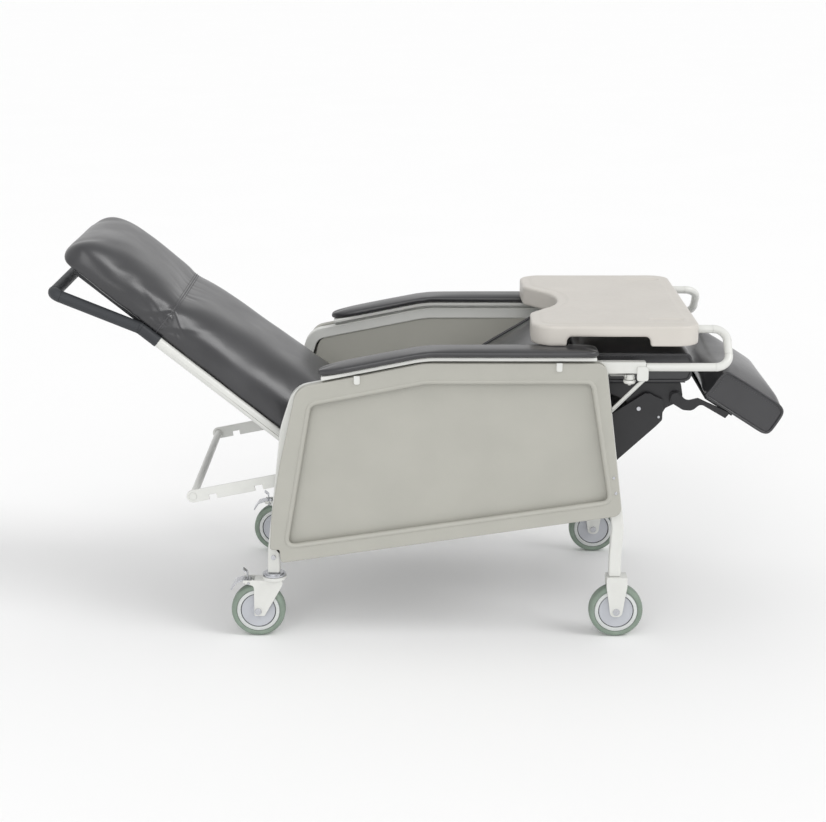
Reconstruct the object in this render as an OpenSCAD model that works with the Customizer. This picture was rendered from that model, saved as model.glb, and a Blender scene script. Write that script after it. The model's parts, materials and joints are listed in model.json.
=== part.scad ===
// Three-position clinical recliner on casters, with a slide-in lap tray.
// Origin: on the floor, under the middle of the chair's length.
// +X is the foot end, +Y is the sitter's left, +Z is up.
// It is drawn fully reclined. Points on the side profile are [x, z]; "right" parts are on the -Y side.

/* [Wheels] */
// Diameter of the four wheels
wheel_d = 127; // [120:1:130]
// Width of a tyre
tyre_w = 32; // [26:1:33]
// Distance between the middle planes of the left and right wheels
track = 600; // [590:1:610]
// Where the front axle is, ahead of the middle
front_axle_x = 454; // [450:1:458]
// Where the swivel axis of a rear caster is, ahead of the middle
swivel_x = -349; // [-351:1:-347]
// How far a rear wheel trails behind its swivel axis
trail = 38; // [34:1:42]

/* [Side frames] */
// Width of the rectangular frame tube, seen from the side
tube_w = 28; // [26:1:30]
// Thickness of the frame tube, across the chair
tube_t = 25; // [22:1:26]
// Height of the middle line of the level arm tube
arm_z = 650.5; // [648:0.5:653]
// Thickness of a side panel, across the chair
panel_t = 24; // [20:1:26]

/* [Upholstery] */
// Width of the seat cushion
seat_w = 476; // [460:2:480]
// Thickness of the seat cushion
seat_t = 84; // [76:1:84]
// Width of the back, calf and foot pads
pad_w = 468; // [450:2:470]
// Thickness of an arm pad
arm_pad_t = 16; // [12:1:17]
// Width of an arm pad
arm_pad_w = 82; // [74:2:84]

/* [Tray] */
// Height of the tray's top
tray_z = 749; // [747:1:752]
// Depth of the tray's skirt
tray_h = 49; // [44:1:49]
// Width of the tray, across the chair
tray_w = 620; // [600:2:640]
// Rear edge of the tray
tray_rear_x = 249; // [240:1:254]
// Front edge of the tray
tray_front_x = 628; // [620:1:636]

/* [Rest angles] */
// Slope of the seat, reclined
seat_slope = 34.2; // [33:0.1:35]
// Slope of the back tubes, reclined
back_slope = 38.9; // [38:0.1:40]
// Downward slope of the foot pad, reclined
foot_slope = 32.9; // [31:0.1:35]
// Slope of the lock bar, reclined
lock_slope = 11.3; // [10.5:0.1:12]

/* [Hidden] */
$fn = 48;

// Clearances
slip = 0.05;        // radial clearance of a pin in its bore
gap = 0.3;          // clearance between faces that move past each other
seam = 1;           // air between neighbours that only come close

// Wheels and forks
wheel_r = wheel_d / 2;
wheel_y = track / 2;
hub_r = wheel_r - 13;
hub_w = tyre_w + 2;
axle_r = 5;
fork_t = 2.5;                        // sheet of a fork cheek
fork_y = hub_w / 2 + seam;           // inner face of a cheek, from the wheel's middle plane
front_crown_z = 148;                 // top of a front fork
rear_crown_z = 140;                  // top of a rear fork
race_gap = 0.5;
upper_race_z = 148;
upper_race_h = 8;
rear_axle_x = swivel_x - trail;
stem_r = 6;
stem_top_z = 190;
pedal_pivot = [rear_axle_x - 21, 133];

// Side frames
frame_y = track / 2;                              // middle plane of the frame tubes
frame_in = frame_y - tube_t / 2;
frame_out = frame_y + tube_t / 2;
arm_base_h = 9;                                   // visible strip under an arm pad
arm_web_h = 7;                                    // web between that strip and the tube
arm_top_z = arm_z + tube_w / 2 + arm_web_h + arm_base_h;
arm_slope = 11.3;                                 // rear part of the arm
arm_bend_x = 2;
tube_drop = arm_top_z - arm_z;
socket_end_x = 506;
rail_r = 9.5;
rail_depth_x = 112;                               // inner end of the bore for a tray rail
leg_foot = [swivel_x, upper_race_z + upper_race_h];
rear_leg = [leg_foot, [swivel_x + 1, 210], [-314, 505]];
front_leg = [[404, arm_z], [453, 268], [449, 200], [449, front_crown_z]];
lower_rail = [[swivel_x + 3, 232], [453, 330]];
pivot = [49, 357];                                // recline axis
pivot_tube_r = 12.5;
post_foot = [pivot.x, 282];
lock_rod_at = [-328, 357];
lock_rod_r = 5;
clamp_x = 470;
boss_r = 12;
boss_h = 15;
clamp_screw_r = 4;

// Panels and arms
panel_y = frame_out + 0.7;
panel_skin = 4;
arm_pad_y = frame_y + 9;                          // middle of an arm pad
arm_front_x = 398;

// Seat: x runs up the seat from the crease, z is square to it
crease = [-98, 440];
rail_y = 195;                                     // middle plane of the seat rails
rail_w = 25;
board_t = 12;
seat_back_x = -60;
knee_x = 345;                                     // front face of the seat cushion
rail_z = -seat_t - board_t - rail_w / 2;
back_hinge = [-96.6, -125.4];                     // in seat coordinates
hinge_pin_r = 8;
calf_hinge = [352, 590];                          // in chair coordinates

// Back: x runs down the back from the hinge line's foot, so a place s mm up the back is at -s
back_tube_y = 222;
back_tube_r = 12.5;
back_tube_len = 650;
lug_r = 18;
lug_t = 10;
back_foot_s = 128;
back_head_s = 660;
pillow_end_s = 952;
back_under_z = 15;                                // rear face of the cushion and the pillow
back_front_z = 131;                               // front of the cushion at the hinge end
back_thins = 0.0445;                              // how fast it thins towards the head
lock_pivot_s = 179;
lock_pivot_z = -7;
lock_pin_r = 6;

// Lock bar
lock_y = 270;
lock_t = 5;
lock_h = 30;
lock_len = 292;
notch_w = 18;
notch_d = 12;
crossbar_r = 9;

// Calf and foot
bracket_y = 209;
bracket_t = 5;
foot_hinge = [587, 560];
foot_bolt_r = 6;
foot_lane_y = bracket_y + bracket_t + 2;
foot_heel = [646, 567];                           // lower rear edge of the foot pad
foot_pad_len = 190;
foot_pad_t = 92;
foot_corner_r = 30;
cheek_y = 222;
cheek_t = 4;

// Tray
tray_rail_y = 230;                                // where the rails enter the tray
tray_rail_z = 724;
rail_turn_x = 697;
rail_bend_r = 32;
tray_skin = 9;
skirt_t = 16;

// Points are measured from a line near the middle of the chair.
// middle_x is the true middle of its length, from that line.
foot_tip_x = foot_heel.x + (foot_pad_len - foot_corner_r) * cos(foot_slope)
    + (foot_pad_t - foot_corner_r) * sin(foot_slope) + foot_corner_r;
grip_r = 14;
handle_r = 11;
handle_end_x = -851;
middle_x = (foot_tip_x + handle_end_x - grip_r) / 2;

// Colours
FRAME_WHITE = [0.89, 0.89, 0.87];
PANEL_BEIGE = [0.74, 0.73, 0.69];
VINYL = [0.28, 0.28, 0.29];
TRAY_CREAM = [0.84, 0.82, 0.78];
TYRE_GREY = [0.55, 0.61, 0.55];
WHEEL_GREY = [0.79, 0.80, 0.81];
ZINC = [0.72, 0.74, 0.75];
BLACK = [0.15, 0.15, 0.16];
GRIP_GREY = [0.35, 0.37, 0.38];

// ---------- points and outlines ----------

function unit(v) = v / norm(v);
function left_of(v) = [-v.y, v.x];
function turn(v, a) = [v.x * cos(a) - v.y * sin(a), v.x * sin(a) + v.y * cos(a)];
function reversed(list) = [for (i = [len(list) - 1 : -1 : 0]) list[i]];

// Points of the arc of radius r that rounds the corner b between a and c
function fillet(a, b, c, r, steps = 6) =
    r == 0 ? [b] :
    let (u = unit(a - b), v = unit(c - b), half = acos(u * v) / 2,
         centre = b + unit(u + v) * r / sin(half),
         from = b + u * r / tan(half) - centre,
         to = b + v * r / tan(half) - centre,
         start = atan2(from.y, from.x),
         sweep = (atan2(to.y, to.x) - start + 540) % 360 - 180)
    [for (i = [0 : steps]) centre + r * [cos(start + sweep * i / steps), sin(start + sweep * i / steps)]];

function radius_at(r, i) = is_list(r) ? r[i] : r;

// A closed outline with rounded corners
function rounded(points, r) =
    let (n = len(points))
    [for (i = [0 : n - 1]) each fillet(points[(i + n - 1) % n], points[i], points[(i + 1) % n], radius_at(r, i))];

// An open path with rounded corners
function eased(points, r) = [
    points[0],
    for (i = [1 : len(points) - 2]) each fillet(points[i - 1], points[i], points[i + 1], radius_at(r, i)),
    points[len(points) - 1]
];

// The path moved sideways by d
function beside(path, d) =
    let (last = len(path) - 1)
    [for (i = [0 : last])
        let (before = unit(path[max(i, 1)] - path[max(i, 1) - 1]),
             after = unit(path[min(i, last - 1) + 1] - path[min(i, last - 1)]),
             side = unit(left_of(before) + left_of(after)))
        path[i] + side * d / (side * left_of(before))];

// The outline of a flat bar that follows a path
function ribbon(path, above, below) = concat(beside(path, above), reversed(beside(path, -below)));

// A clockwise or anticlockwise outline moved inwards by d
function inset(points, d) =
    let (n = len(points))
    [for (i = [0 : n - 1])
        let (before = unit(points[i] - points[(i + n - 1) % n]),
             after = unit(points[(i + 1) % n] - points[i]),
             side = unit(left_of(before) + left_of(after)))
        points[i] + side * d / (side * left_of(before))];

function rectangle(x0, x1, z0, z1) = [[x0, z0], [x1, z0], [x1, z1], [x0, z1]];

// Where a point of a tilted part is on the chair's side profile
function on_seat(p) = crease + turn(p, seat_slope);
function on_back(p) = on_seat(back_hinge) + turn(p, -back_slope);

// ---------- solids ----------

// A plate with its outline on the side profile, from y to y + t
module plate(outline, y, t) {
    translate([0, y + t, 0]) rotate([90, 0, 0]) linear_extrude(t) polygon(outline);
}

// A round bar across the chair, from y to y + length
module bar(at, r, y, length) {
    translate([at.x, y + length, at.y]) rotate([90, 0, 0]) cylinder(r = r, h = length);
}

// A round bar across the whole chair
module cross_bar(at, r, half_length) {
    bar(at, r, -half_length, 2 * half_length);
}

module block(x, y, z) {
    translate([x[0], y[0], z[0]]) cube([x[1] - x[0], y[1] - y[0], z[1] - z[0]]);
}

module both_sides() {
    children();
    mirror([0, 1, 0]) children();
}

module on_right() {
    mirror([0, 1, 0]) children();
}

module seat_space() {
    translate([crease.x, 0, crease.y]) rotate([0, -seat_slope, 0]) children();
}

module back_space() {
    hinge = on_seat(back_hinge);
    translate([hinge.x, 0, hinge.y]) rotate([0, back_slope, 0]) children();
}

module foot_space() {
    translate([foot_heel.x, 0, foot_heel.y]) rotate([0, foot_slope, 0]) children();
}

module lock_space() {
    q = on_back([-lock_pivot_s, lock_pivot_z]);
    translate([q.x, 0, q.y]) rotate([0, -lock_slope, 0]) children();
}

// Puts the z axis of its children along z_axis, and their x axis as near x_axis as it can be
module oriented(origin, z_axis, x_axis) {
    z = unit(z_axis);
    y = unit(cross(z, x_axis));
    x = cross(y, z);
    multmatrix([
        [x[0], y[0], z[0], origin[0]],
        [x[1], y[1], z[1], origin[1]],
        [x[2], y[2], z[2], origin[2]],
        [0, 0, 0, 1]
    ]) children();
}

function half_angle(a, b, c) = acos(unit(a - b) * unit(c - b)) / 2;

// A round tube along straight runs joined by bends of one radius. The bends are a hair thicker
// than the runs, which reach a little way into them, so that the pieces join cleanly.
module bent_tube(points, r, bend) {
    last = len(points) - 1;
    swell = 0.15;
    reach = 1.2;
    for (i = [0 : last - 1]) {
        a = points[i];
        b = points[i + 1];
        start = i == 0 ? 0 : bend / tan(half_angle(points[i - 1], a, b)) - reach;
        stop = i == last - 1 ? 0 : bend / tan(half_angle(a, b, points[i + 2])) - reach;
        along = unit(b - a);
        side = abs(along[2]) < 0.9 ? [0, 0, 1] : [1, 0, 0];
        oriented(a + along * start, along, side) cylinder(r = r, h = norm(b - a) - start - stop);
    }
    for (i = [1 : last - 1]) {
        b = points[i];
        u = unit(points[i - 1] - b);
        v = unit(points[i + 1] - b);
        half = half_angle(points[i - 1], b, points[i + 1]);
        centre = b + unit(u + v) * bend / sin(half);
        from = b + u * bend / tan(half) - centre;
        to = b + v * bend / tan(half) - centre;
        oriented(centre, cross(from, to), from)
            rotate_extrude(angle = 180 - 2 * half) translate([bend, 0]) circle(r = r + swell);
    }
}

// Puts the middle of the chair's length over the origin
module placed() {
    translate([-middle_x, 0, 0]) children();
}

// ---------- wheels and forks ----------

module tyre(x, y) {
    corner = 5;
    outline = rounded([
        [hub_r + slip, -tyre_w / 2 + 2], [wheel_r, -tyre_w / 2], [wheel_r, tyre_w / 2], [hub_r + slip, tyre_w / 2 - 2]
    ], [0, corner, corner, 0]);
    color(TYRE_GREY) translate([x, y, wheel_r]) rotate([90, 0, 0]) rotate_extrude($fn = 96) polygon(outline);
}

module hub(x, y) {
    rim = hub_r - 5;
    groove = hub_r - 8;
    half = tyre_w / 2 - 2;
    boss_r = 12;
    outline = [
        [axle_r + slip, -hub_w / 2], [boss_r, -hub_w / 2], [boss_r + 1, -half + 5], [groove - 3, -half + 5],
        [groove, -half + 2], [rim, -half], [hub_r, -half],
        [hub_r, half], [rim, half], [groove, half - 2],
        [groove - 3, half - 5], [boss_r + 1, half - 5], [boss_r, hub_w / 2], [axle_r + slip, hub_w / 2]
    ];
    color(WHEEL_GREY) translate([x, y, wheel_r]) rotate([90, 0, 0]) rotate_extrude($fn = 96) polygon(outline);
}

module axle(x, y) {
    head_h = 4;
    outer = fork_y + fork_t;
    color(ZINC) {
        bar([x, wheel_r], axle_r, y - outer, 2 * outer);
        bar([x, wheel_r], axle_r + 3, y - outer - head_h, head_h);
        bar([x, wheel_r], axle_r + 3, y + outer, head_h);
    }
}

// Two cheeks and a crown around a wheel; the outline is of one cheek
module fork(outline, crown_x, crown_z, axle_x, y) {
    difference() {
        union() {
            plate(outline, y + fork_y, fork_t);
            plate(outline, y - fork_y - fork_t, fork_t);
            block(crown_x, [y - fork_y, y + fork_y], [crown_z - 3, crown_z]);
        }
        bar([axle_x, wheel_r], axle_r + slip, y - 2 * fork_y, 4 * fork_y);
    }
}

module front_forks() {
    top_w = 49;
    end_r = 13;
    x = front_axle_x;
    outline = rounded([
        [x - top_w / 2, front_crown_z], [x - top_w / 2, front_crown_z - 22],
        [x - end_r, wheel_r - end_r], [x + end_r, wheel_r - end_r],
        [x + top_w / 2, front_crown_z - 22], [x + top_w / 2, front_crown_z]
    ], [0, 20, end_r - 1, end_r - 1, 20, 0]);
    color(FRAME_WHITE) both_sides()
        fork(outline, [x - top_w / 2, x + top_w / 2], front_crown_z, x, wheel_y);
}

module front_axles() {
    both_sides() axle(front_axle_x, wheel_y);
}

// Upper ball race and its cover, pressed on the leg
module caster_races() {
    color(ZINC) both_sides() difference() {
        translate([swivel_x, wheel_y, upper_race_z]) union() {
            cylinder(r = 27, h = upper_race_h - 3);
            translate([0, 0, upper_race_h - 3]) cylinder(r = 23, h = 3 - gap);
        }
        translate([swivel_x, wheel_y, 0]) cylinder(r = stem_r + slip, h = 2 * upper_race_z);
    }
}

module rear_fork() {
    x = rear_axle_x;
    front_x = swivel_x + 20;
    outline = rounded([
        [x - 9, wheel_r - 12], [x + 15, wheel_r - 12], [front_x, rear_crown_z - 12],
        [front_x, rear_crown_z], [x - 34, rear_crown_z], [x - 34, rear_crown_z - 6], [x - 9, rear_crown_z - 14]
    ], [3, 3, 6, 0, 0, 0, 8]);
    color(FRAME_WHITE) difference() {
        union() {
            fork(outline, [x - 8, front_x], rear_crown_z, x, wheel_y);
            translate([swivel_x, wheel_y, rear_crown_z]) {
                cylinder(r = 29, h = upper_race_z - race_gap - rear_crown_z);
                cylinder(r = stem_r, h = stem_top_z - rear_crown_z);
            }
        }
        bar(pedal_pivot, 3 + slip, wheel_y - 2 * fork_y, 4 * fork_y);
    }
}

module rear_axle() {
    axle(rear_axle_x, wheel_y);
}

// The sprung steel pedal, its pivot and the clip that frees it
module brake_pedal() {
    p = pedal_pivot;
    path = eased([p, p + [-14, 5], p + [-30, 0], p + [-42, -18]], [0, 8, 10, 0]);
    clip = eased([p + [-3, 2], p + [-4, 22], p + [-14, 30]], [0, 4, 0]);
    color(ZINC) {
        plate(ribbon(path, 1.5, 1.5), wheel_y - 16, 32);
        plate(ribbon(clip, 1.2, 1.2), wheel_y - 9, 18);
        bar(p, 5, wheel_y - 16, 32);
        bar(p, 3, wheel_y - fork_y - fork_t - 1, 2 * (fork_y + fork_t + 1));
    }
}

// ---------- frame ----------

// The two ends of the sloped rear part of an arm, drop mm under its top
function arm_line(drop, length = 236) =
    let (bend = [arm_bend_x + drop * tan(arm_slope / 2), arm_top_z - drop],
         rear = bend - length * [cos(arm_slope), sin(arm_slope)])
    [rear, bend];

module side_frame() {
    main = eased(concat(rear_leg, arm_line(tube_drop, 296), [[socket_end_x, arm_z]]), [0, 300, 150, 42, 250, 0]);
    half = tube_w / 2;
    color(FRAME_WHITE) difference() {
        union() {
            plate(ribbon(main, half, half), frame_in, tube_t);
            plate(ribbon(eased(front_leg, 60), half, half), frame_in, tube_t);
            plate(ribbon(lower_rail, half - 3, half - 3), frame_in, tube_t);
            plate(rectangle(pivot.x - 18, pivot.x + 18, post_foot.y, pivot.y + 20), frame_in, tube_t);
            translate([clamp_x, frame_y, arm_z - half - boss_h]) cylinder(r = boss_r, h = boss_h + 1);
            block([424, clamp_x], [frame_y - 7, frame_y + 7], [arm_z - half - 6, arm_z - half + 1]);
        }
        translate([rail_depth_x, frame_y, arm_z]) rotate([0, 90, 0]) cylinder(r = rail_r + slip, h = 500);
        translate([swivel_x, frame_y, 0]) cylinder(r = stem_r + slip, h = stem_top_z + 2);
        bar(pivot, pivot_tube_r + slip, frame_in - 1, tube_t - 4);
        translate([clamp_x, frame_y, arm_z - half - boss_h - 1]) cylinder(r = clamp_screw_r + slip, h = boss_h + 9);
    }
}

module side_frame_left() {
    side_frame();
}

module side_frame_right() {
    on_right() side_frame();
}

module frame_cross_tubes() {
    slope = unit(lower_rail[1] - lower_rail[0]);
    color(FRAME_WHITE) for (x = [-240, 110])
        cross_bar(lower_rail[0] + slope * (x - lower_rail[0].x) / slope.x, 11, frame_in);
}

module lock_rod() {
    color(ZINC) cross_bar(lock_rod_at, lock_rod_r, frame_in);
}

module seat_pivot_tube() {
    color(FRAME_WHITE) cross_bar(pivot, pivot_tube_r, frame_in + tube_t - 6);
}

// ---------- panels and arms ----------

panel_outline = [
    [-355, 221], [-333, 221], [-330, 189], [459, 306], [413, 667],
    [2, 667], [-288, 609], [-329, 426], [-350, 305]
];
panel_radii = [6, 3, 8, 20, 24, 200, 42, 200, 200];
panel_field = [
    [-320, 227], [433, 338], [385, 625], [4, 624], [-260, 572]
];

module side_panel() {
    outer = rounded(panel_outline, panel_radii);
    inner = rounded(inset(panel_outline, panel_skin), panel_radii * 0.9);
    field = rounded(panel_field, 14);
    field_edge = rounded(inset(panel_field, -panel_skin), 16);
    color(PANEL_BEIGE) difference() {
        union() {
            difference() {
                plate(outer, panel_y, panel_t);
                plate(inner, panel_y - 1, panel_t - panel_skin + 1);
            }
            plate(field_edge, panel_y + 4, panel_t - 5);
        }
        plate(field, panel_y + 4 + panel_skin, panel_t);
    }
}

module side_panel_left() {
    side_panel();
}

module side_panel_right() {
    on_right() side_panel();
}

clip_xs = [-150, 307];

module panel_clips() {
    clip_w = 14;
    clip_h = 22;
    face = panel_y + panel_t;
    color(FRAME_WHITE) both_sides() for (x = clip_xs) {
        top = arm_top_z - arm_base_h - max(arm_bend_x - x, 0) * tan(arm_slope);
        outline = rounded(rectangle(-clip_w / 2, clip_w / 2, -clip_h, -1.5), [5, 5, 0, 0]);
        translate([x, 0, top - 1]) plate(outline, face, 4);
    }
}

module panel_screws() {
    face = panel_y + panel_t;
    leg_screw = [swivel_x, 195];
    color(ZINC) both_sides() {
        for (at = [[443, 361], [437, 398]]) bar(at, 3.5, face, 1.5);
        bar(leg_screw, 6, frame_out, 2.5);
    }
}

// The middle line of an arm tube as far as front_x
function arm_axis(front_x) = eased(concat(arm_line(tube_drop), [[front_x, arm_z]]), 250);

// A strip under each arm pad, on a web that stands on the tube
module arm_bases() {
    tube_top = tube_w / 2;
    strip_bottom = tube_top + arm_web_h;
    color(FRAME_WHITE) both_sides() {
        plate(ribbon(arm_axis(arm_front_x - 6), strip_bottom + arm_base_h, -strip_bottom), arm_pad_y - 33, 60);
        plate(ribbon(arm_axis(arm_front_x - 20), strip_bottom + 1, -tube_top), frame_in + 3, tube_t - 6);
    }
}

module arm_pad() {
    rest = arm_line(-gap);
    tail = rest[0] - 9 * [cos(arm_slope), sin(arm_slope)];
    path = eased([tail, rest[1], [arm_front_x, arm_top_z + gap]], 250);
    color(VINYL) plate(rounded(ribbon(path, arm_pad_t, 0), concat(
        [7], [for (i = [1 : len(path) - 2]) 0], [7, 4], [for (i = [1 : len(path) - 2]) 0], [4]
    )), arm_pad_y - arm_pad_w / 2, arm_pad_w);
}

module arm_pad_left() {
    arm_pad();
}

module arm_pad_right() {
    on_right() arm_pad();
}

// Tab on the mouth of each arm tube, and the stay that runs down to the front leg
module tray_braces() {
    tab = rounded(rectangle(485, 511, arm_z - tube_w / 2 - 15, arm_z + 4), [5, 5, 8, 3]);
    top = [503, arm_z - tube_w / 2 - 12];
    foot = [425, 545];
    run = foot - top;
    color(FRAME_WHITE) both_sides() difference() {
        union() {
            plate(tab, frame_out, 5);
            translate([top.x, frame_out - 4, top.y])
                rotate([0, 90 - atan2(run.y, run.x), 0]) cylinder(r = 4.5, h = norm(run));
        }
        plate(ribbon(front_leg, tube_w / 2, tube_w / 2), frame_in, tube_t);
        plate(ribbon([[400, arm_z], [600, arm_z]], tube_w / 2, tube_w / 2), frame_in, tube_t);
    }
}

// ---------- seat ----------

module seat_rails() {
    hinge = back_hinge;
    knee = turn(calf_hinge - crease, -seat_slope);
    axle = turn(pivot - crease, -seat_slope);
    half = rail_w / 2;
    outline = rounded([
        hinge + [-lug_r, -lug_r + 4], hinge + [lug_r + 8, -lug_r + 4], [axle.x - 50, rail_z - half],
        [axle.x - 22, axle.y - 24], [axle.x + 22, axle.y - 24], [axle.x + 50, rail_z - half],
        [knee.x - 30, rail_z - half], knee + [-4, -14], knee + [14, -14], knee + [14, 13], [knee.x - 22, rail_z + half],
        [hinge.x - 4, rail_z + half]
    ], [14, 8, 10, 18, 18, 10, 10, 10, 12, 12, 10, 10]);
    color(BLACK) both_sides() seat_space() difference() {
        plate(outline, rail_y - half, rail_w);
        bar(hinge, hinge_pin_r + slip, 0, 300);
        bar(knee, hinge_pin_r + slip, 0, 300);
        bar(axle, pivot_tube_r + 2 * slip, 0, 300);
    }
}

module seat_cross_tubes() {
    color(BLACK) seat_space() for (x = [-30, 230, 400]) cross_bar([x, rail_z], 9, rail_y - rail_w / 2);
}

module seat_board() {
    color(BLACK) seat_space()
        plate(rectangle(seat_back_x + 8, 418, -seat_t - board_t, -seat_t), -seat_w / 2 + 12, seat_w - 24);
}

module seat_cushion() {
    knee_top = [knee_x, 673];
    front = turn(knee_top - crease, -seat_slope);
    low = turn([knee_x, 632] - crease, -seat_slope);
    bend = turn([296, 673] - crease, -seat_slope);
    outline = rounded([
        [seat_back_x, -seat_t], [425, -seat_t], low, front, bend, [seat_back_x, 0]
    ], [10, 10, 12, 22, 70, 14]);
    color(VINYL) seat_space() plate(outline, -seat_w / 2, seat_w);
}

module back_hinge_pins() {
    color(ZINC) both_sides() seat_space() {
        bar(back_hinge, hinge_pin_r, rail_y - 15, 39);
        bar(back_hinge, hinge_pin_r + 4, rail_y + 24.5 + seam, 4);
        bar(back_hinge, hinge_pin_r, rail_y + 23, 3.5);
    }
}

module calf_hinge_pins() {
    color(ZINC) both_sides() {
        bar(calf_hinge, hinge_pin_r, rail_y - 15, 35);
        bar(calf_hinge, hinge_pin_r + 4, rail_y + 20, 4);
    }
}

// ---------- back ----------

module back_tube() {
    translate([-22, back_tube_y, 0]) rotate([0, -90, 0]) cylinder(r = back_tube_r, h = back_tube_len - 22);
}

// Both tubes of the back, each with its hinge lug and the pin that carries the lock bar
module back_tubes() {
    lug_y = rail_y + rail_w / 2 + 2.5;
    color(FRAME_WHITE) both_sides() back_space() difference() {
        union() {
            back_tube();
            plate(rounded(rectangle(-52, lug_r - 2, -14, 14), [6, 12, 12, 6]), lug_y, lug_t);
            bar([-lock_pivot_s, lock_pivot_z], lock_pin_r, back_tube_y, lock_y + lock_t + 6 - back_tube_y);
            bar([-lock_pivot_s, lock_pivot_z], lock_pin_r + 3, lock_y + lock_t + seam, 4);
            bar([-lock_pivot_s, lock_pivot_z], lock_pin_r + 3, back_tube_y, lock_y - seam - back_tube_y);
        }
        bar([0, 0], hinge_pin_r + slip, 0, 300);
    }
}

module back_cross_tubes() {
    color(FRAME_WHITE) back_space() difference() {
        for (s = [80, 360, 600]) cross_bar([-s, -5], 8, back_tube_y - back_tube_r + 3);
        both_sides() back_tube();
    }
}

module back_board() {
    half = back_tube_y - grip_r - 2 * seam;
    color(BLACK) back_space() plate(rectangle(-895, -145, back_under_z - board_t, back_under_z), -half, 2 * half);
}

function back_front(s) = back_front_z - back_thins * s;

module back_cushion() {
    outline = rounded([
        [-back_head_s, back_under_z], [-back_foot_s, back_under_z], [-back_foot_s + 4, back_front(back_foot_s)],
        [-back_head_s, back_front(back_head_s)]
    ], [6, 12, 22, 10]);
    color(VINYL) back_space() plate(outline, -pad_w / 2, pad_w);
}

module head_pillow() {
    start = back_head_s + 2;
    outline = rounded([
        [-pillow_end_s, back_under_z + 2], [-pillow_end_s + 40, back_under_z], [-start, back_under_z],
        [-start, back_front(start)],
        [-pillow_end_s + 62, back_front(start)], [-pillow_end_s, 66]
    ], [12, 10, 6, 10, 60, 24]);
    color(VINYL) back_space() plate(outline, -pad_w / 2, pad_w);
}

// The push handle leaves the back tubes and crosses behind the pillow
tube_end = on_back([-back_tube_len, 0]);
knuckle = on_back([-back_tube_len - 52, 0]);
handle_side = [tube_end, knuckle, [handle_end_x, 803]];

function handle_points() = concat(
    [for (p = handle_side) [p.x, -back_tube_y, p.y]],
    [for (p = reversed(handle_side)) [p.x, back_tube_y, p.y]]
);

module handle_tube() {
    color(FRAME_WHITE) bent_tube(handle_points(), handle_r, 18);
}

module handle_grip() {
    color(GRIP_GREY) difference() {
        bent_tube(handle_points(), grip_r, 18);
        bent_tube(handle_points(), handle_r + slip, 18);
    }
}

// ---------- lock bar ----------

// A place on the side profile after the chair has been raised by a degrees at the seat
function raised(p, a) =
    let (hinge = on_seat(back_hinge), on_hinge = hinge + turn(p - hinge, -a / 2))
    pivot + turn(on_hinge - pivot, -a);

// How far along the lock bar the rod lies when the seat has been raised by a degrees
function notch_at(a) = norm(lock_rod_at - raised(on_back([-lock_pivot_s, lock_pivot_z]), a));

upright = 28;
notches = [notch_at(0) + 1.5, notch_at(10), notch_at(upright) - 2.7];

module lock_arms() {
    half = lock_h / 2;
    ends = rounded(rectangle(-lock_len - half, half, -half, half), half - 0.5);
    color(FRAME_WHITE) both_sides() lock_space() difference() {
        plate(ends, lock_y, lock_t);
        bar([0, 0], lock_pin_r + slip, 0, 400);
        bar([-lock_len, 0], crossbar_r + slip, 0, 400);
        for (n = notches) {
            notch = rectangle(-n - notch_w / 2, -n + notch_w / 2, -2 * half, -half + notch_d);
            plate(notch, lock_y - 1, 20);
        }
    }
}

module lock_crossbar() {
    color(FRAME_WHITE) lock_space() cross_bar([-lock_len, 0], crossbar_r, lock_y + lock_t);
}

// ---------- calf rest and step ----------

module calf_brackets() {
    outline = rounded([
        calf_hinge + [-14, -13], calf_hinge + [-14, 13], calf_hinge + [16, 13], [400, 592], [600, 592], [606, 556],
        [588, 542], [566, 531], [549, 500], [505, 512], [470, 552], [420, 572], calf_hinge + [16, -13]
    ], [12, 12, 10, 10, 4, 14, 10, 10, 10, 12, 20, 20, 10]);
    color(BLACK) both_sides() difference() {
        plate(outline, bracket_y, bracket_t);
        bar(calf_hinge, hinge_pin_r + slip, 0, 300);
        bar(foot_hinge, foot_bolt_r + slip, 0, 300);
    }
}

module calf_board() {
    color(BLACK) plate(rectangle(408, 610, 592 + gap, 597), -bracket_y - bracket_t, 2 * (bracket_y + bracket_t));
}

module calf_pad() {
    outline = rounded([
        [352, 614], [400, 597 + gap], [623, 597 + gap], [626, 675], [352, 676]
    ], [8, 20, 14, 16, 20]);
    color(VINYL) plate(outline, -pad_w / 2, pad_w);
}

step_edge = [[428, 504], [518, 564]];

module step_board() {
    color(BLACK) plate(ribbon(step_edge, 0, 9), -bracket_y + gap, 2 * (bracket_y - gap));
}

module step_cheeks() {
    outline = rounded([
        step_edge[0] + [-4, 6], step_edge[1] + [-2, 6], step_edge[1] + [9, 5], [559, 553], [558, 505], [545, 491],
        [463, 414], [424, 378]
    ], [0, 5, 5, 5, 8, 8, 0, 0]);
    color(BLACK) both_sides() plate(outline, cheek_y, cheek_t);
}

// Dome screws outside each cheek, and the spacers that hold the step between the brackets
module step_screws() {
    color(ZINC) both_sides() {
        for (at = [[502, 533, 5], [549, 513, 3]]) {
            bar([at[0], at[1]], at[2], cheek_y + cheek_t, 2.5);
            bar([at[0], at[1]], at[2], bracket_y + bracket_t, cheek_y - bracket_y - bracket_t);
        }
    }
}

// ---------- foot rest ----------

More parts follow.
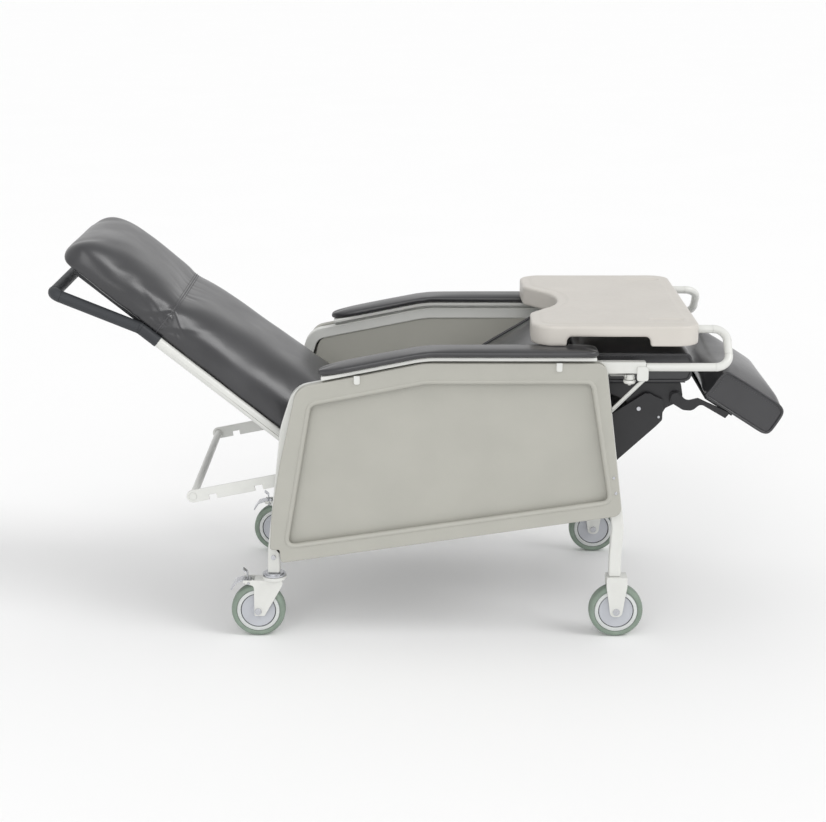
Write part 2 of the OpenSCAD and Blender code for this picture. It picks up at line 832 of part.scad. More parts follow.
module foot_brackets() {
    heel = foot_heel;
    toe = heel + turn([84, 0], -foot_slope);
    outline = rounded([
        foot_hinge + [-13, -12], foot_hinge + [-12, 12], foot_hinge + [8, 13], [612, 550], heel + [-6, -10], toe,
        toe + turn([-2, -17], -foot_slope), heel + turn([14, -20], -foot_slope), [628, 526], [606, 528]
    ], [8, 10, 8, 16, 6, 2, 2, 12, 20, 16]);
    color(BLACK) both_sides() difference() {
        plate(outline, foot_lane_y, bracket_t);
        bar(foot_hinge, foot_bolt_r + slip, 0, 300);
    }
}

module foot_board() {
    color(BLACK) foot_space() plate(rectangle(16, 92, -5, -gap), -foot_lane_y + gap, 2 * (foot_lane_y - gap));
}

module foot_pad() {
    r = foot_corner_r;
    outline = rounded(rectangle(0, foot_pad_len, 0, foot_pad_t), [8, 14, r, r - 4]);
    color(VINYL) foot_space() plate(outline, -pad_w / 2, pad_w);
}

module foot_bolts() {
    color(BLACK) both_sides() {
        bar(foot_hinge, foot_bolt_r, bracket_y - 4, foot_lane_y + bracket_t + 5 - bracket_y);
        bar(foot_hinge, foot_bolt_r + 4, bracket_y - 8, 4);
        bar(foot_hinge, foot_bolt_r + 5, foot_lane_y + bracket_t + 1, 5);
    }
}

// ---------- tray ----------

tray_belly_depth = 74;
tray_belly_half = 168;

// Half of the plan: the front corner, the rear lobe and the belly cut, from the middle line outwards
function tray_half_plan() =
    let (side = tray_w / 2)
    concat(
        fillet([tray_front_x, 0], [tray_front_x, side], [tray_rear_x, side - 2], 46, 8),
        fillet([tray_front_x, side], [tray_rear_x - 4, side - 2], [tray_rear_x, tray_belly_half], 52, 8),
        fillet([tray_rear_x - 4, side - 2], [tray_rear_x, tray_belly_half - 10], [tray_rear_x + 60, 60], 36, 6),
        [for (a = [60 : -15 : 15])
            [tray_rear_x + tray_belly_depth * cos(a), tray_belly_half * 0.72 * sin(a)]]
    );

function flip(points) = [for (p = reversed(points)) [p.x, -p.y]];

function tray_plan() = concat(tray_half_plan(), [[tray_rear_x + tray_belly_depth, 0]], flip(tray_half_plan()));

module tray_top() {
    plan = tray_plan();
    finger_h = 21;
    color(TRAY_CREAM) difference() {
        translate([0, 0, tray_z - tray_h]) linear_extrude(tray_h) polygon(plan);
        translate([0, 0, tray_z - tray_h - 1]) linear_extrude(tray_h - tray_skin + 1) polygon(inset(plan, skirt_t));
        both_sides() plate(rounded(rectangle(326, 514, tray_z - tray_h - 30, tray_z - tray_h + finger_h), 8),
            tray_w / 2 - skirt_t - 8, 40);
    }
}

module tray_rail() {
    bent_tube([
        [200, frame_y, arm_z], [rail_turn_x, frame_y, arm_z], [rail_turn_x, tray_rail_y, tray_rail_z],
        [tray_front_x + slip, tray_rail_y, tray_rail_z]
    ], rail_r, rail_bend_r);
}

module tray_rail_left() {
    color(FRAME_WHITE) tray_rail();
}

module tray_rail_right() {
    color(FRAME_WHITE) on_right() tray_rail();
}

// Thumb screw under the arm tube, which grips the rail
module clamp_knob() {
    boss_z = arm_z - tube_w / 2 - boss_h;
    color(FRAME_WHITE) translate([clamp_x, frame_y, 0]) {
        translate([0, 0, boss_z - 9 - gap]) cylinder(r1 = 11, r2 = 14, h = 3);
        translate([0, 0, boss_z - 6 - gap]) cylinder(r = 14, h = 6);
        translate([0, 0, boss_z - gap]) cylinder(r = clamp_screw_r, h = arm_z - rail_r - boss_z);
        translate([0, 0, boss_z - 13 - gap]) cylinder(r = clamp_screw_r, h = 4);
    }
}

module clamp_knob_left() {
    clamp_knob();
}

module clamp_knob_right() {
    on_right() clamp_knob();
}

placed() side_frame_right();
placed() side_frame_left();
placed() frame_cross_tubes();
placed() lock_rod();
placed() seat_pivot_tube();
placed() side_panel_right();
placed() side_panel_left();
placed() panel_clips();
placed() panel_screws();
placed() arm_pad_right();
placed() arm_pad_left();
placed() arm_bases();
placed() tray_braces();
placed() front_forks();
placed() front_axles();
placed() caster_races();
placed() on_right() rear_fork();  // rear_fork_right
placed() rear_fork();  // rear_fork_left
placed() on_right() rear_axle();  // rear_axle_right
placed() rear_axle();  // rear_axle_left
placed() on_right() brake_pedal();  // brake_pedal_right
placed() brake_pedal();  // brake_pedal_left
placed() tyre(front_axle_x, -wheel_y);  // front_tyre_right
placed() tyre(front_axle_x, wheel_y);  // front_tyre_left
placed() tyre(rear_axle_x, -wheel_y);  // rear_tyre_right
placed() tyre(rear_axle_x, wheel_y);  // rear_tyre_left
placed() hub(front_axle_x, -wheel_y);  // front_hub_right
placed() hub(front_axle_x, wheel_y);  // front_hub_left
placed() hub(rear_axle_x, -wheel_y);  // rear_hub_right
placed() hub(rear_axle_x, wheel_y);  // rear_hub_left
placed() seat_rails();
placed() seat_cross_tubes();
placed() seat_board();
placed() seat_cushion();
placed() back_hinge_pins();
placed() calf_hinge_pins();
placed() back_tubes();
placed() back_cross_tubes();
placed() back_board();
placed() back_cushion();
placed() head_pillow();
placed() handle_tube();
placed() handle_grip();
placed() lock_arms();
placed() lock_crossbar();
placed() calf_brackets();
placed() calf_board();
placed() calf_pad();
placed() step_board();
placed() step_cheeks();
placed() step_screws();
placed() foot_brackets();
placed() foot_board();
placed() foot_pad();
placed() foot_bolts();
placed() tray_top();
placed() tray_rail_right();
placed() tray_rail_left();
placed() clamp_knob_right();
placed() clamp_knob_left();
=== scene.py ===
"""Looks of a three-position clinical recliner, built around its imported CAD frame.

Everything is in metres in the row frame: +X is the foot end, +Y the sitter's left, +Z up.
The parts on the -Y side are called "right".
"""

import json
import math

import bmesh
import bpy
import numpy as np
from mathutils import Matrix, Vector
from mathutils.bvhtree import BVHTree


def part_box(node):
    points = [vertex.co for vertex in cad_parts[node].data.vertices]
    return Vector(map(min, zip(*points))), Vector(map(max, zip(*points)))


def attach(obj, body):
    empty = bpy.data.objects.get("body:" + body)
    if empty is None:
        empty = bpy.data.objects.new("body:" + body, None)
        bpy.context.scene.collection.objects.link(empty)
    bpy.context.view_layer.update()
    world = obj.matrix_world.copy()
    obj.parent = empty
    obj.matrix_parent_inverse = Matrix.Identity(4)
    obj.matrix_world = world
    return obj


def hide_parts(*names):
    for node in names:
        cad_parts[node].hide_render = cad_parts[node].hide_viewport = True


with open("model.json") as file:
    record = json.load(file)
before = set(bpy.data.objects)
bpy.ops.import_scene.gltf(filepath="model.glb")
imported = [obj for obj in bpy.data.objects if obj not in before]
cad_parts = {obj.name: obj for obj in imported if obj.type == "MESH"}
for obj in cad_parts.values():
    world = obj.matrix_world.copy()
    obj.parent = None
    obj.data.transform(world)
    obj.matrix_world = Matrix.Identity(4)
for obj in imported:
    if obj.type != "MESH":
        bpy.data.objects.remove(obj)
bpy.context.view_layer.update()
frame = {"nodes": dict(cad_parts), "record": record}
SIDES = {"right": -1, "left": 1}
WELD = 2e-5
FLAT = math.radians(0.5)


# ---------- mesh helpers ----------


def new_object(name, mesh):
    """An object with that mesh, linked into the scene."""
    obj = bpy.data.objects.new(name, mesh)
    bpy.context.scene.collection.objects.link(obj)
    return obj


def mesh_from(name, verts, faces):
    mesh = bpy.data.meshes.new(name)
    mesh.from_pydata([tuple(v) for v in verts], [], faces)
    mesh.update()
    return new_object(name, mesh)


def shade(obj, sharp=40):
    """Smooth shading, with the edges over that many degrees kept sharp."""
    mesh = obj.data
    mesh.polygons.foreach_set("use_smooth", [True] * len(mesh.polygons))
    mesh.set_sharp_from_angle(angle=math.radians(sharp))
    mesh.update()


def welded(node):
    """A CAD node's mesh with its doubled vertices joined, as a bmesh."""
    bm = bmesh.new()
    bm.from_mesh(frame["nodes"][node].data)
    bmesh.ops.remove_doubles(bm, verts=bm.verts, dist=WELD)
    return bm


def flattened(node):
    """A CAD node's welded mesh with its flat faces joined up, as a bmesh."""
    bm = welded(node)
    bmesh.ops.dissolve_limit(bm, angle_limit=FLAT, verts=bm.verts, edges=bm.edges)
    return bm


def face_outwards(obj):
    """Turns every face of a closed mesh outwards."""
    bm = bmesh.new()
    bm.from_mesh(obj.data)
    bmesh.ops.recalc_face_normals(bm, faces=bm.faces)
    bm.to_mesh(obj.data)
    bm.free()


def clean_copy(node, name):
    """A welded copy of a CAD node's mesh, with its flat faces joined up, as a new object."""
    mesh = bpy.data.meshes.new(name)
    bm = flattened(node)
    bm.to_mesh(mesh)
    bm.free()
    return new_object(name, mesh)


def finish_piece(obj, body, material, slot, nodes=()):
    """Gives a piece its material and its body, and hides the CAD nodes that it stands for."""
    obj.data.materials.clear()
    obj.data.materials.append(material)
    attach(obj, body)
    if nodes:
        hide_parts(*nodes)
    return obj


def refined(node, material, edge=0.0, segments=2, sharp=35):
    """A copy of a CAD node with its edges rounded, which stands for that node."""
    obj = clean_copy(node, f"{node}_fine")
    shade(obj, sharp)
    if edge:
        bevel = obj.modifiers.new("edges", "BEVEL")
        bevel.width = edge
        bevel.segments = segments
        bevel.limit_method = "ANGLE"
        bevel.angle_limit = math.radians(sharp)
        bevel.use_clamp_overlap = False
        bevel.harden_normals = True
    return finish_piece(obj, body_of[node], material, slot_of[node], [node])


record = frame["record"]
slot_of = {part["node"]: part["material_slot"] for part in record["subparts"]}
body_of = {node: body for body, nodes in record["behaviour"]["bodies"].items() for node in nodes}


# ---------- materials ----------


class Paint:
    """A procedural material under construction. Its patterns are in object coordinates."""

    def __init__(self, name, **settings):
        self.material = bpy.data.materials.new(name)
        self.material.use_nodes = True
        self.tree = self.material.node_tree
        self.shader = self.tree.nodes["Principled BSDF"]
        for socket, value in settings.items():
            self.shader.inputs[socket.replace("_", " ")].default_value = value
        self.place = self.add("ShaderNodeTexCoord").outputs["Object"]

    def add(self, kind, inputs=None, **properties):
        node = self.tree.nodes.new(kind)
        for key, value in properties.items():
            setattr(node, key, value)
        for key, value in (inputs or {}).items():
            if isinstance(value, bpy.types.NodeSocket):
                self.tree.links.new(value, node.inputs[key])
            else:
                node.inputs[key].default_value = value
        return node

    def stretched(self, x, y, z):
        """The place with each axis scaled, for a pattern with a direction."""
        return self.add("ShaderNodeMapping", {"Vector": self.place, "Scale": (x, y, z)}).outputs["Vector"]

    def noise(self, scale, detail=3, roughness=0.5, vector=None):
        inputs = {"Vector": vector or self.place, "Scale": scale, "Detail": detail, "Roughness": roughness}
        return self.add("ShaderNodeTexNoise", inputs).outputs["Fac"]

    def cells(self, scale):
        inputs = {"Vector": self.place, "Scale": scale}
        return self.add("ShaderNodeTexVoronoi", inputs, feature="DISTANCE_TO_EDGE").outputs["Distance"]

    def span(self, value, low, high, to_low=0.0, to_high=1.0):
        inputs = {"Value": value, 1: low, 2: high, 3: to_low, 4: to_high}
        return self.add("ShaderNodeMapRange", inputs).outputs[0]

    def blend(self, factor, a, b):
        node = self.add("ShaderNodeMix", data_type="RGBA", blend_type="MIX")
        for index, value in ((0, factor), (6, a), (7, b)):
            if isinstance(value, bpy.types.NodeSocket):
                self.tree.links.new(value, node.inputs[index])
            else:
                node.inputs[index].default_value = value
        return node.outputs[2]

    def bump(self, height, distance, strength=1.0, normal=None):
        inputs = {"Height": height, "Distance": distance, "Strength": strength}
        if normal:
            inputs["Normal"] = normal
        return self.add("ShaderNodeBump", inputs).outputs["Normal"]

    def feed(self, **sockets):
        for name, value in sockets.items():
            self.tree.links.new(value, self.shader.inputs[name.replace("_", " ")])
        return self.material


def grey(value):
    return (value, value, value, 1)


def tone(colour, factor):
    return tuple(c * factor for c in colour[:3]) + (1,)


def plastic(name, colour, roughness=0.45, grain=0.00004, grain_scale=1600, vary=0.05):
    """Moulded plastic with a fine sandblasted grain, faint mottling and scuffs in its gloss."""
    paint = Paint(name, Roughness=roughness)
    mottle = paint.span(paint.noise(9, 4), 0.3, 0.7)
    scuffs = paint.span(paint.noise(60, 5, 0.7, paint.stretched(1, 4, 2)), 0.45, 0.75)
    skin = paint.noise(grain_scale, 2)
    return paint.feed(
        Base_Color=paint.blend(mottle, tone(colour, 1 - vary), tone(colour, 1 + vary)),
        Roughness=paint.span(scuffs, 0, 1, roughness - 0.05, roughness + 0.12),
        Normal=paint.bump(skin, grain),
    )


def powder_coat(name, colour, roughness=0.3):
    """Sprayed powder coat: orange peel, small gloss changes, a trace of dust."""
    paint = Paint(name, Roughness=roughness, Coat_Weight=0.15, Coat_Roughness=0.12)
    dust = paint.span(paint.noise(25, 5, 0.6), 0.4, 0.8)
    peel = paint.noise(420, 1)
    return paint.feed(
        Base_Color=paint.blend(dust, colour, tone(colour, 0.95)),
        Roughness=paint.span(dust, 0, 1, roughness, roughness + 0.15),
        Normal=paint.bump(peel, 0.00006),
    )


def vinyl(name, colour):
    """Upholstery vinyl: fine leather grain, slow creases, gloss that wanders with handling."""
    paint = Paint(name, Roughness=0.34, Specular_IOR_Level=0.55, Coat_Weight=0.35, Coat_Roughness=0.22)
    pebble = paint.cells(900)
    fine = paint.noise(2200, 2)
    creases = paint.noise(11, 2, 0.4)
    wear = paint.span(paint.noise(7, 4, 0.6), 0.35, 0.7)
    grain = paint.bump(pebble, 0.00009, 0.5, paint.bump(creases, 0.0016, 0.5))
    return paint.feed(
        Base_Color=paint.blend(wear, tone(colour, 0.88), tone(colour, 1.14)),
        Roughness=paint.span(wear, 0, 1, 0.29, 0.39),
        Normal=paint.bump(fine, 0.00002, 0.6, grain),
    )


def metal(name, colour, roughness=0.28):
    """Bright zinc plate: fine scratches and a slightly cloudy gloss."""
    paint = Paint(name, Metallic=1.0, Roughness=roughness)
    cloud = paint.noise(70, 4, 0.6)
    scratch = paint.noise(900, 3, 0.7, paint.stretched(1, 1, 1))
    return paint.feed(
        Base_Color=paint.blend(cloud, tone(colour, 0.82), tone(colour, 1.05)),
        Roughness=paint.span(cloud, 0.3, 0.7, roughness - 0.08, roughness + 0.12),
        Normal=paint.bump(scratch, 0.00004),
    )


def rubber(name, colour, roughness=0.6):
    """Matt rubber with a dusty mottle and mould grain."""
    paint = Paint(name, Roughness=roughness, Specular_IOR_Level=0.35)
    dust = paint.span(paint.noise(45, 5, 0.65), 0.35, 0.75)
    return paint.feed(
        Base_Color=paint.blend(dust, tone(colour, 0.88), tone(colour, 1.12)),
        Roughness=paint.span(dust, 0, 1, roughness - 0.06, roughness + 0.12),
        Normal=paint.bump(paint.noise(1100, 3), 0.00008),
    )


VINYL = vinyl("vinyl_charcoal", (0.030, 0.030, 0.033, 1))
PANEL = plastic("panel_beige", (0.425, 0.42, 0.377, 1), 0.46, 0.00022, 560, 0.03)
TRAY = plastic("tray_cream", (0.60, 0.57, 0.525, 1), 0.4, 0.00008, 900, 0.03)
WHITE = powder_coat("frame_white", (0.70, 0.705, 0.675, 1))
KNOB = plastic("knob_white", (0.74, 0.74, 0.71, 1), 0.35)
TYRE = rubber("tyre_grey", (0.235, 0.29, 0.24, 1))
WHEEL = plastic("wheel_grey", (0.5, 0.515, 0.55, 1), 0.35)
RIM = plastic("wheel_rim", (0.62, 0.64, 0.63, 1), 0.3)
RING = rubber("wheel_ring", (0.02, 0.022, 0.026, 1), 0.5)
ZINC = metal("zinc", (0.60, 0.61, 0.64, 1), 0.24)
BLACK = powder_coat("black_steel", (0.011, 0.011, 0.013, 1), 0.38)
BOARD = plastic("black_board", (0.014, 0.015, 0.018, 1), 0.45)
GRIP = rubber("grip_grey", (0.04, 0.043, 0.048, 1), 0.5)

MATERIALS = {
    "vinyl_charcoal": VINYL, "panel_beige": PANEL, "tray_cream": TRAY, "frame_white": WHITE,
    "knob_white": KNOB, "tyre_grey": TYRE, "wheel_grey": WHEEL, "zinc": ZINC,
    "black_steel": BLACK, "black_board": BOARD, "grip_grey": GRIP,
}

# ---------- hard parts ----------

EDGES = {
    "side_frame": 0.0035, "side_panel": 0.003, "arm_bases": 0.0025,
    "panel_clips": 0.0015, "front_forks": 0.0008, "rear_fork": 0.0008, "lock_arms": 0.0012,
    "seat_rails": 0.003, "calf_brackets": 0.001, "foot_brackets": 0.001, "step_cheeks": 0.0012,
    "step_board": 0.002, "clamp_knob": 0.0015, "tray_braces": 0.001, "brake_pedal": 0.0008,
}


def edge_of(node):
    stem = node.removesuffix("_right").removesuffix("_left")
    return EDGES.get(stem, 0.0006)


REMADE = (
    "seat_cushion", "back_cushion", "head_pillow", "calf_pad", "foot_pad",
    "arm_pad_right", "arm_pad_left", "tray_top",
)
WHEELS = [(end, side) for end in ("front", "rear") for side in SIDES]
for node_name, slot_name in slot_of.items():
    if node_name not in REMADE and "_hub_" not in node_name and "_tyre_" not in node_name:
        refined(node_name, MATERIALS[slot_name], edge_of(node_name))


def lathe(name, profile, centre, segments=72):
    """A closed profile of (radius, offset along Y) points, turned about an axis along Y."""
    count = len(profile)
    verts, faces = [], []
    for k in range(segments):
        angle = 2 * math.pi * k / segments
        for radius, offset in profile:
            x, z = radius * math.cos(angle), radius * math.sin(angle)
            verts.append((centre.x + x, centre.y + offset, centre.z + z))
        after = (k + 1) % segments
        for i in range(count):
            j = (i + 1) % count
            faces.append((k * count + i, k * count + j, after * count + j, after * count + i))
    obj = mesh_from(name, verts, faces)
    face_outwards(obj)
    shade(obj, 35)
    return obj


def both_faces(half_profile):
    """A profile of one face, as (radius, offset) from the bore outwards, mirrored to the other face."""
    return half_profile + [(radius, -offset) for radius, offset in reversed(half_profile)]


HUB_FACE = [
    (0.0051, 0.0170), (0.0135, 0.0170), (0.0150, 0.0155), (0.0165, 0.0130),
    (0.0360, 0.0118), (0.0385, 0.0128), (0.0395, 0.0128), (0.0400, 0.0100),
]
RING_FACE = [(0.0400, 0.0119), (0.0413, 0.0119)]
RIM_FACE = [
    (0.0413, 0.0100), (0.0416, 0.0142), (0.0425, 0.0150),
    (0.0485, 0.0150), (0.0500, 0.0140), (0.0504, 0.0125),
]
TYRE_FACE = [
    (0.0505, 0.0120), (0.0512, 0.0148), (0.0530, 0.0157), (0.0565, 0.0160),
    (0.0595, 0.0150), (0.0618, 0.0128), (0.0631, 0.0095), (0.0635, 0.0050),
]


def wheel(end, side):
    """A caster wheel: hub disc, dark joint ring, light rim and rounded tyre."""
    low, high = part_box(f"{end}_tyre_{side}")
    centre = (low + high) / 2
    body = body_of[f"{end}_hub_{side}"]
    stem = f"{end}_wheel_{side}"
    hub = lathe(f"{stem}_hub", both_faces(HUB_FACE), centre)
    finish_piece(hub, body, WHEEL, "wheel_grey", [f"{end}_hub_{side}"])
    finish_piece(lathe(f"{stem}_ring", both_faces(RING_FACE), centre), body, RING, "black_steel")
    finish_piece(lathe(f"{stem}_rim", both_faces(RIM_FACE), centre), body, RIM, "wheel_grey")
    tyre = lathe(f"{stem}_tyre", both_faces(TYRE_FACE), centre)
    finish_piece(tyre, body, TYRE, "tyre_grey", [f"{end}_tyre_{side}"])


for end, side in WHEELS:
    wheel(end, side)


# ---------- upholstery ----------


def end_outline(node):
    """The corners of a pad's +Y end face, in order, as (x, z)."""
    bm = flattened(node)
    ends = [face for face in bm.faces if face.normal.y > 0.99]
    end = max(ends, key=lambda face: (round(face.calc_center_median().y, 4), face.calc_area()))
    points = np.array([(v.co.x, v.co.z) for v in end.verts])
    bm.free()
    return points


def resampled(points, step):
    """Points a fixed step apart along a closed line of straight pieces."""
    line = np.vstack([points, points[:1]])
    lengths = np.linalg.norm(np.diff(line, axis=0), axis=1)
    along = np.concatenate([[0], np.cumsum(lengths)])
    places = np.linspace(0, along[-1], max(4, round(along[-1] / step)) + 1)[:-1]
    return np.column_stack([np.interp(places, along, line[:, k]) for k in range(line.shape[1])])


def baked(obj, *modifiers):
    """Adds each (kind, settings) modifier, and makes the result the object's own mesh."""
    for kind, settings in modifiers:
        modifier = obj.modifiers.new(kind, kind)
        for key, value in settings.items():
            setattr(modifier, key, value)
    graph = bpy.context.evaluated_depsgraph_get()
    mesh = bpy.data.meshes.new_from_object(obj.evaluated_get(graph))
    obj.modifiers.clear()
    old = obj.data
    obj.data = mesh
    bpy.data.meshes.remove(old)
    return obj


def coords(obj):
    flat = np.empty(len(obj.data.vertices) * 3)
    obj.data.vertices.foreach_get("co", flat)
    return flat.reshape(-1, 3)


def normals(obj):
    flat = np.empty(len(obj.data.vertices) * 3, np.float32)
    obj.data.vertices.foreach_get("normal", flat)
    return flat.reshape(-1, 3).astype(float)


def set_coords(obj, places):
    obj.data.vertices.foreach_set("co", places.ravel())
    obj.data.update()


def hold(obj, held):
    """Puts the vertices marked in held in the group that the cloth holds in place."""
    group = obj.vertex_groups.new(name="held")
    group.add([int(i) for i in np.nonzero(held)[0]], 1.0, "REPLACE")


def remeshed(obj, voxel, rounds):
    """Rebuilds an object from even voxels, and smooths it that many rounds."""
    return baked(
        obj,
        ("REMESH", {"mode": "VOXEL", "voxel_size": voxel}),
        ("SMOOTH", {"factor": 0.5, "iterations": rounds}),
    )


def hold_near(obj, lines, reach):
    """Holds the vertices near any of those lines."""
    places = coords(obj)
    near = np.full(len(places), np.inf)
    for line in lines:
        for start in range(0, len(places), 4000):
            block = places[start:start + 4000]
            gaps = np.linalg.norm(block[:, None] - line[None], axis=2).min(axis=1)
            near[start:start + 4000] = np.minimum(near[start:start + 4000], gaps)
    hold(obj, near < reach)


def add_cloth(obj, pressure):
    """Makes a pad's cover a sheet of cloth under that pressure, with its held vertices fixed."""
    modifier = obj.modifiers.new("cloth", "CLOTH")
    settings = modifier.settings
    settings.quality = 4
    settings.mass = 0.25
    settings.tension_stiffness = 12
    settings.compression_stiffness = 12
    settings.shear_stiffness = 5
    settings.bending_stiffness = 4
    settings.use_pressure = True
    settings.uniform_pressure_force = pressure
    settings.effector_weights.gravity = 0
    settings.vertex_group_mass = "held"
    modifier.collision_settings.use_collision = False
    modifier.collision_settings.use_self_collision = False


def inflate(pads):
    """Runs the cloth of all pads together. pads is a list of (object, cap on how far a point may move)."""
    scene = bpy.context.scene
    before = [coords(obj) for obj, _ in pads]
    for step in range(1, CLOTH_FRAMES + 1):
        scene.frame_set(step)
    graph = bpy.context.evaluated_depsgraph_get()
    for (obj, cap), start in zip(pads, before):
        grown = coords(obj.evaluated_get(graph)) - start
        reach = np.maximum(np.linalg.norm(grown, axis=1), 1e-9)
        capped = start + grown * (cap * np.tanh(reach / cap) / reach)[:, None]
        obj.modifiers.clear()
        set_coords(obj, capped)
        rounds = BACK_SMOOTHING if obj is back else PAD_SMOOTHING
        baked(obj, ("SMOOTH", {"factor": 0.5, "iterations": rounds}))
    scene.frame_set(1)


def plane_of(joint, slope):
    """In the side profile: a joint's hinge, and the unit vectors up along and out of a back at that slope."""
    at = next(j["pos_m"] for j in record["behaviour"]["joints"] if j["name"] == joint)
    angle = math.radians(slope)
    return (
        np.array([at[0], at[2]]),
        np.array([-math.cos(angle), math.sin(angle)]),
        np.array([math.sin(angle), math.cos(angle)]),
    )


def along_and_out(places, plane):
    """How far along a sloping part, and how far out from it, each place lies."""
    origin, along, out = plane
    flat = places[:, [0, 2]] - origin
    return flat @ along, flat @ out


def surface_of(obj):
    return BVHTree.FromPolygons([v.co for v in obj.data.vertices], [p.vertices for p in obj.data.polygons])


def evened(line, rounds):
    """A closed line with each point drawn towards its neighbours, that many times."""
    for _ in range(rounds):
        line = (np.roll(line, 1, axis=0) + 2 * line + np.roll(line, -1, axis=0)) / 4
    return line


def laid_on(tree, path, lift):
    """A closed path moved to the nearest places on a surface and lifted off it, with the normals there."""
    hits = [tree.find_nearest(Vector(p)) for p in path]
    spots = np.array([hit[0] for hit in hits])
    ups = evened(np.array([hit[1] for hit in hits]), 6)
    ups /= np.linalg.norm(ups, axis=1)[:, None]
    return evened(spots, 6) + ups * lift, ups


def tube(name, path, radius, sides=8):
    """A round welt or bead along a closed path."""
    path = np.asarray(path, float)
    count = len(path)
    tangents = np.roll(path, -1, axis=0) - np.roll(path, 1, axis=0)
    tangents /= np.linalg.norm(tangents, axis=1)[:, None]
    guide = np.array([0, 1, 0]) if abs(tangents[0][1]) < 0.8 else np.array([0, 0, 1])
    verts = []
    for spot, tangent in zip(path, tangents):
        first = guide - tangent * (guide @ tangent)
        first /= np.linalg.norm(first)
        second = np.cross(tangent, first)
        guide = first
        for k in range(sides):
            angle = 2 * math.pi * k / sides
            verts.append(spot + radius * (math.cos(angle) * first + math.sin(angle) * second))
    faces = []
    for i in range(count):
        j = (i + 1) % count
        for k in range(sides):
            m = (k + 1) % sides
            faces.append((i * sides + k, i * sides + m, j * sides + m, j * sides + k))
    obj = mesh_from(name, verts, faces)
    shade(obj, 60)
    return obj


def stitches(name, path, ups, pitch=0.0065, length=0.0042, radius=0.0007):
    """A row of thread stitches along a path on a surface. Each is a slim eight-faced grain."""
    path = np.asarray(path, float)
    lengths = np.linalg.norm(np.diff(path, axis=0), axis=1)
    along = np.concatenate([[0], np.cumsum(lengths)])
    verts, faces = [], []
    for place in np.arange(pitch, along[-1] - pitch, pitch):
        first, last = (
            np.array([np.interp(place + shift, along, path[:, k]) for k in range(3)])
            for shift in (-length / 2, length / 2)
        )
        up = np.array([np.interp(place, along, ups[:, k]) for k in range(3)])
        up /= np.linalg.norm(up)
        side = np.cross(last - first, up)
        side /= np.linalg.norm(side)
        middle = (first + last) / 2
        base = len(verts)
        verts += [first, *(middle + turn * radius for turn in (up, side, -up, -side)), last]
        for k in range(4):
            a, b = base + 1 + k, base + 1 + (k + 1) % 4
            faces += [(base, b, a), (base + 5, a, b)]
    obj = mesh_from(name, verts, faces)
    shade(obj, 180)
    return obj


def ring_at(tree, plane, at, half_width, low, high, steps=160):
    """The closed line round a sloping part's padding at one place along it, found by rays cast inwards."""
    origin, along, out = plane
    flat = origin + along * at + out * (low + high) / 2
    centre = Vector((flat[0], 0, flat[1]))
    ring, ups = [], []
    for k in range(steps):
        angle = 2 * math.pi * k / steps
        reach_y, reach_out = math.cos(angle) * half_width * 1.6, math.sin(angle) * (high - low) * 1.6
        start = centre + Vector((out[0] * reach_out, reach_y, out[1] * reach_out))
        hit = tree.ray_cast(start, centre - start)
        if hit[0] is not None:
            ring.append(np.array(hit[0]))
            ups.append(np.array(hit[1]))
    return np.array(ring), np.array(ups)


CLOTH_FRAMES = 20
BACK_SMOOTHING = 60
PAD_SMOOTHING = 14
CLOTH_ROOM = 0.004

# Along the back, from its hinge: the seam under the pillow, and where the pillow's tip starts to bend down.
BACK = plane_of("back_tilt", 38.9)
SEAM_AT = 0.667
TIP_BEND_AT = 0.835
TIP_BASE = 0.018

# The back's cover: how far its lower edge wraps behind the pad, and how wide its sides are rolled.
WRAP = 0.009
ROLL = 0.062
TIP_CORNER = (0.07, 0.08)
PAD_HALF = (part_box("back_cushion")[1].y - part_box("back_cushion")[0].y) / 2
GATHERS = np.random.default_rng(7)

SIDE_DEPTH = 0.105

# How far each boxed pad falls towards its welts, and the length of an arm pad's rounded ends.
WELT_DROP = {"seat_cushion": 0.006, "calf_pad": 0.010, "foot_pad": 0.014}
WELT_R = 0.0034
ARM_TIP = 0.085
ARM_NOSE = 0.03


def ripples(t, waves, low, high):
    """A wandering wave along t: several sines with seeded phases and pitches between low and high."""
    total = np.zeros_like(t)
    for _ in range(waves):
        pitch = GATHERS.uniform(low, high)
        phase = GATHERS.uniform(0, 2 * math.pi)
        total += np.sin(2 * math.pi * t / pitch + phase)
    return total / math.sqrt(waves)


def joined(name, objects):
    bm = bmesh.new()
    for obj in objects:
        bm.from_mesh(obj.data)
        bpy.data.objects.remove(obj)
    mesh = bpy.data.meshes.new(name)
    bm.to_mesh(mesh)
    bm.free()
    return new_object(name, mesh)


def limits_along(along, out, step=0.008):
    """The lowest and highest out near each place along a pad, from the pad's own points."""
    first = along.min()
    stations = np.round((along - first) / step).astype(int)
    count = stations.max() + 1
    low, high = np.full(count, np.inf), np.full(count, -np.inf)
    np.minimum.at(low, stations, out)
    np.maximum.at(high, stations, out)
    places = first + step * np.arange(count)
    return np.interp(along, places, low), np.interp(along, places, high)


def rolled(a, b, a_limit, b_limit, a_radius, b_radius):
    """Where a and b both come near their limits, draws them in to an elliptical corner."""
    over_a = np.maximum(a - (a_limit - a_radius), 0) / a_radius
    over_b = np.maximum(b - (b_limit - b_radius), 0) / b_radius
    back_off = 1 - 1 / np.maximum(np.hypot(over_a, over_b), 1)
    return a - over_a * a_radius * back_off, b - over_b * b_radius * back_off


